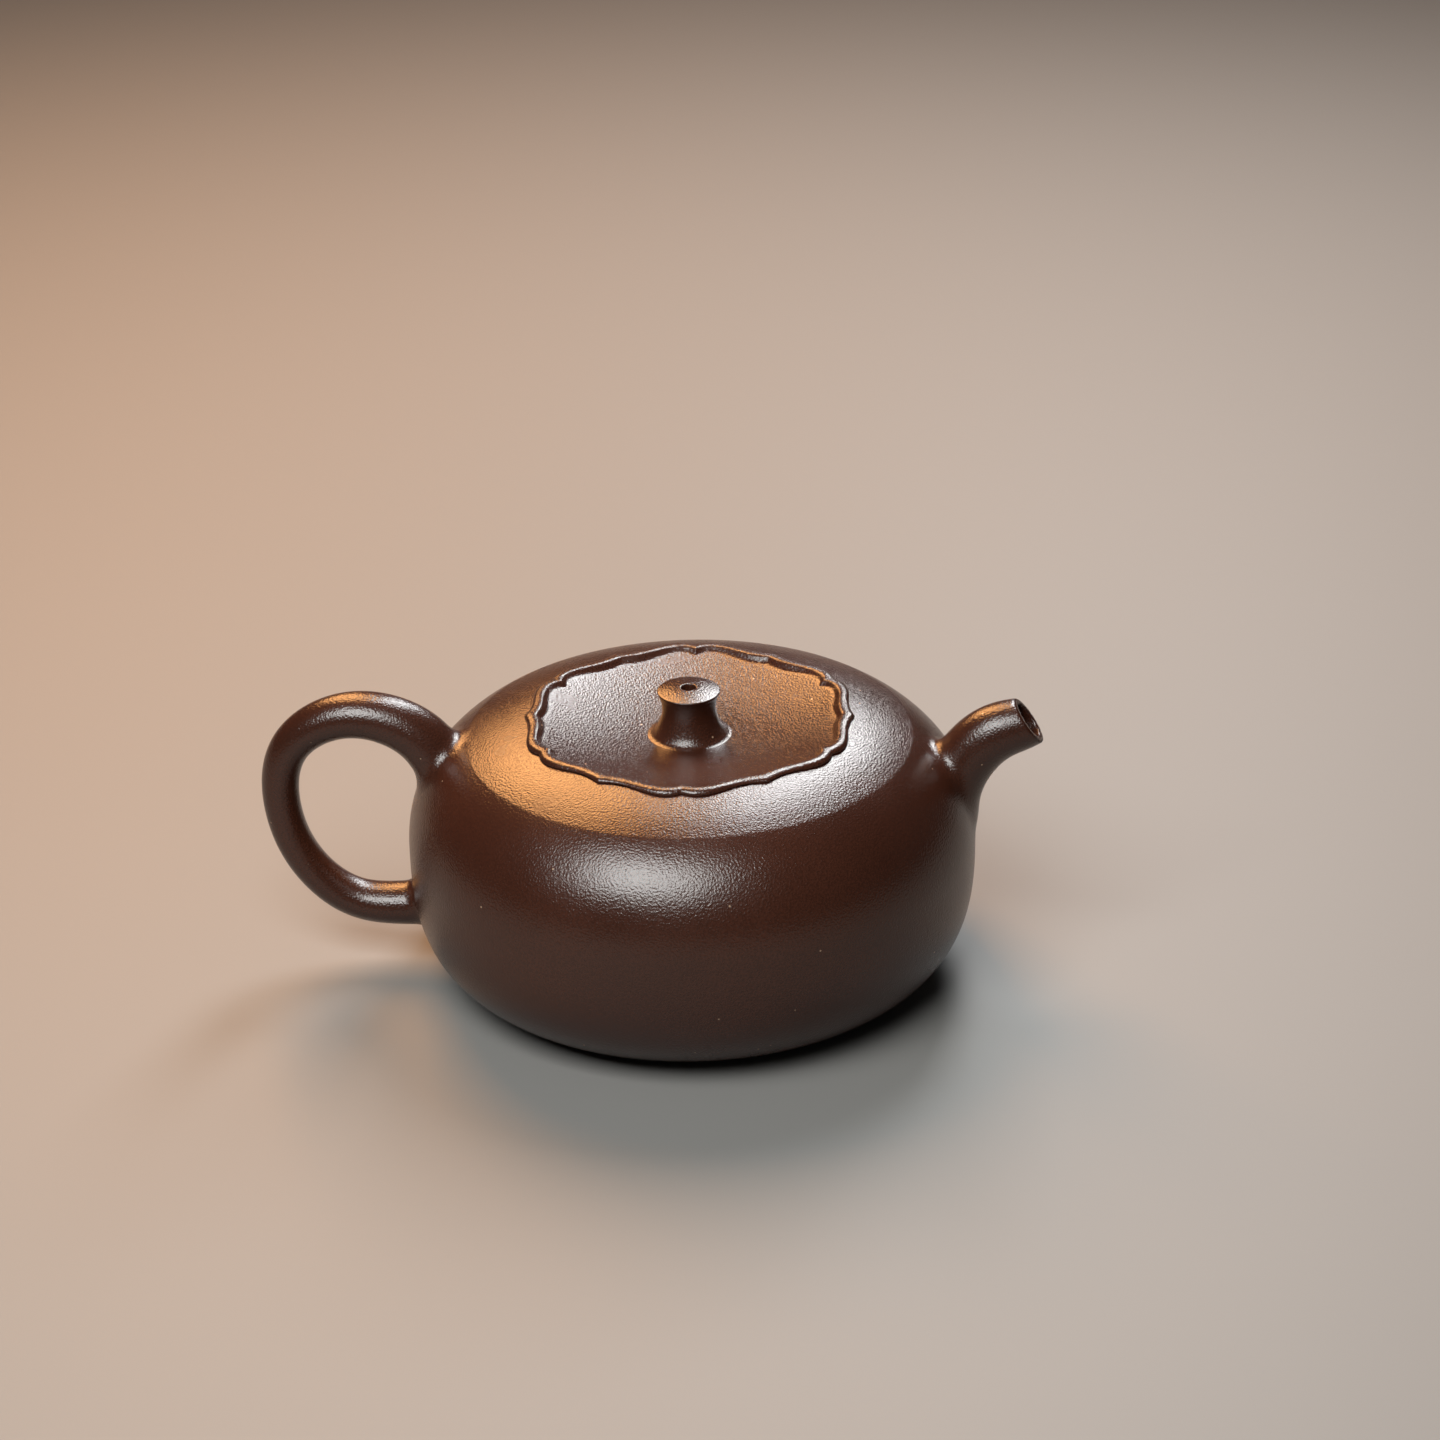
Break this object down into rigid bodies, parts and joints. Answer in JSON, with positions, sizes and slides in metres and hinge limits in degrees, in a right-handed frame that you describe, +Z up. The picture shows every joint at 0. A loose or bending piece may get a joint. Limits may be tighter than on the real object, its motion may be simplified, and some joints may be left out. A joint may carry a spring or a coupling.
{
  "type": "clay teapot",
  "caption": "Squat unglazed stoneware teapot with a short curved spout, an ear-shaped handle and a loose dished lid with a lobed rim and a waisted knob.",
  "frame": {"origin": "centre of the round base, on the surface that the pot stands on", "axes": "+Z up, +X towards the spout, -X towards the handle"},
  "size_m": [0.1543, 0.112, 0.0601],
  "materials": {
    "pot_clay": "satin",
    "lid_clay": "satin"
  },
  "bodies": {
    "pot": {"body_wall": "pot_clay", "base_slab": "pot_clay", "shoulder_slab": "pot_clay", "mouth_ring": "pot_clay", "spout": "pot_clay", "handle": "pot_clay"},
    "lid": {"lid_disc": "lid_clay", "lid_rim_bead": "lid_clay", "lid_flange": "lid_clay", "knob": "lid_clay"}
  },
  "joints": [
    {"name": "lid_lift", "type": "slide", "parent": "pot", "child": "lid", "axis": [0, 0, 1], "range_m": [0, 0.06]}
  ]
}
